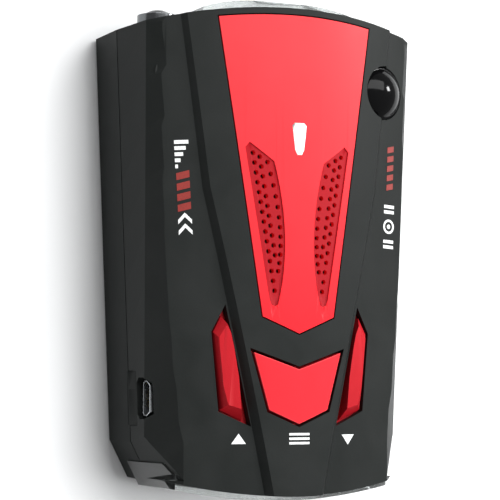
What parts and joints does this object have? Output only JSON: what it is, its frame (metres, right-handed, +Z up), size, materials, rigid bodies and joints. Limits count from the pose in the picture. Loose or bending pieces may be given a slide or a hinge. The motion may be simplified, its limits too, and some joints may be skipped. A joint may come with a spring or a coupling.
{
  "type": "radar detector",
  "caption": "Wedge-shaped dash-top radar detector with a raised red centre, three keys, twin grilles, laser lenses and a display at the driver's end.",
  "frame": {"origin": "centre of the overall length and width, on the surface that the rubber feet stand on", "axes": "+Y towards the road (front window), -Y towards the driver (display window), +X right seen from above with the front away, +Z up"},
  "size_m": [0.0694, 0.109, 0.0339],
  "materials": {
    "lower_case_plastic": "fine matt texture",
    "upper_case_plastic": "fine matt texture",
    "red_panel_plastic": "satin, moulded in colour",
    "red_key_plastic": "satin, moulded in colour",
    "black_cloth": "woven dust cloth",
    "clear_plastic": "clear to milky",
    "led_plastic": "milky",
    "plunger_plastic": "plain",
    "component_plastic": "plain",
    "smoked_window_plastic": "polished, smoked",
    "black_lens_plastic": "polished, infrared-clear black",
    "bright_metal": "plated",
    "cast_metal": "as cast",
    "sensor_resin": "tinted",
    "board_green": "solder mask",
    "gold_plate": "plated",
    "capacitor_sleeve": "shrink sleeve",
    "small_part_ceramic": "fired",
    "led_digits": "lit segments",
    "speaker_steel": "plated sheet",
    "magnet_ferrite": "ferrite",
    "speaker_paper": "pressed pulp",
    "speaker_rubber": "soft foam rubber",
    "coil_copper": "enamelled wire",
    "screw_steel": "blackened",
    "foot_rubber": "soft",
    "label_film": "printed film, left blank",
    "white_ink": "pad print",
    "red_ink": "pad print"
  },
  "bodies": {
    "detector": {"lower_case": "lower_case_plastic", "upper_case": "upper_case_plastic", "top_panel": "red_panel_plastic", "grille_cloth": "black_cloth", "alert_window": "clear_plastic", "alert_led": "led_plastic", "key_switches": "component_plastic", "dome_lens": "black_lens_plastic", "dome_holder": "upper_case_plastic", "dome_sensor": "sensor_resin", "front_window": "smoked_window_plastic", "left_front_lens": "black_lens_plastic", "right_front_lens": "black_lens_plastic", "lens_bezels": "bright_metal", "laser_sensors": "sensor_resin", "sensor_boards": "board_green", "horn_antenna": "cast_metal", "antenna_board": "board_green", "antenna_shield": "bright_metal", "board_header": "gold_plate", "main_board": "board_green", "processor": "component_plastic", "memory_chip": "component_plastic", "power_regulator": "component_plastic", "crystal": "bright_metal", "capacitors": "capacitor_sleeve", "small_parts": "small_part_ceramic", "display_window": "smoked_window_plastic", "display_module": "component_plastic", "display_digits": "led_digits", "display_board": "board_green", "display_pins": "gold_plate", "usb_shell": "bright_metal", "usb_insulator": "component_plastic", "usb_contacts": "gold_plate", "jack_body": "component_plastic", "jack_pin": "bright_metal", "switch_body": "bright_metal", "speaker_frame": "speaker_steel", "speaker_magnet": "magnet_ferrite", "speaker_pole": "speaker_steel", "speaker_surround": "speaker_rubber", "speaker_gasket": "speaker_rubber", "speaker_leads": "gold_plate", "case_screws": "screw_steel", "board_screws": "screw_steel", "rubber_feet": "foot_rubber", "base_label": "label_film", "white_print": "white_ink", "red_print": "red_ink"},
    "up_key_body": {"up_key": "red_key_plastic", "up_plunger": "plunger_plastic"},
    "menu_key_body": {"menu_key": "red_key_plastic", "menu_plunger": "plunger_plastic"},
    "down_key_body": {"down_key": "red_key_plastic", "down_plunger": "plunger_plastic"},
    "power_slider": {"switch_slider": "component_plastic"},
    "speaker_moving": {"speaker_cone": "speaker_paper", "voice_coil": "coil_copper"}
  },
  "joints": [
    {"name": "up_press", "type": "slide", "parent": "detector", "child": "up_key_body", "axis": [0, 0, -1], "range_m": [0, 0.0004], "stiffness_N_per_m": 3000},
    {"name": "menu_press", "type": "slide", "parent": "detector", "child": "menu_key_body", "axis": [0, 0, -1], "range_m": [0, 0.0004], "stiffness_N_per_m": 3000},
    {"name": "down_press", "type": "slide", "parent": "detector", "child": "down_key_body", "axis": [0, 0, -1], "range_m": [0, 0.0004], "stiffness_N_per_m": 3000},
    {"name": "power_slide", "type": "slide", "parent": "detector", "child": "power_slider", "axis": [0, 1, 0], "range_m": [0, 0.002]},
    {"name": "cone_stroke", "type": "slide", "parent": "detector", "child": "speaker_moving", "axis": [0, 0, 1], "range_m": [-0.0003, 0.0003], "stiffness_N_per_m": 1500}
  ]
}
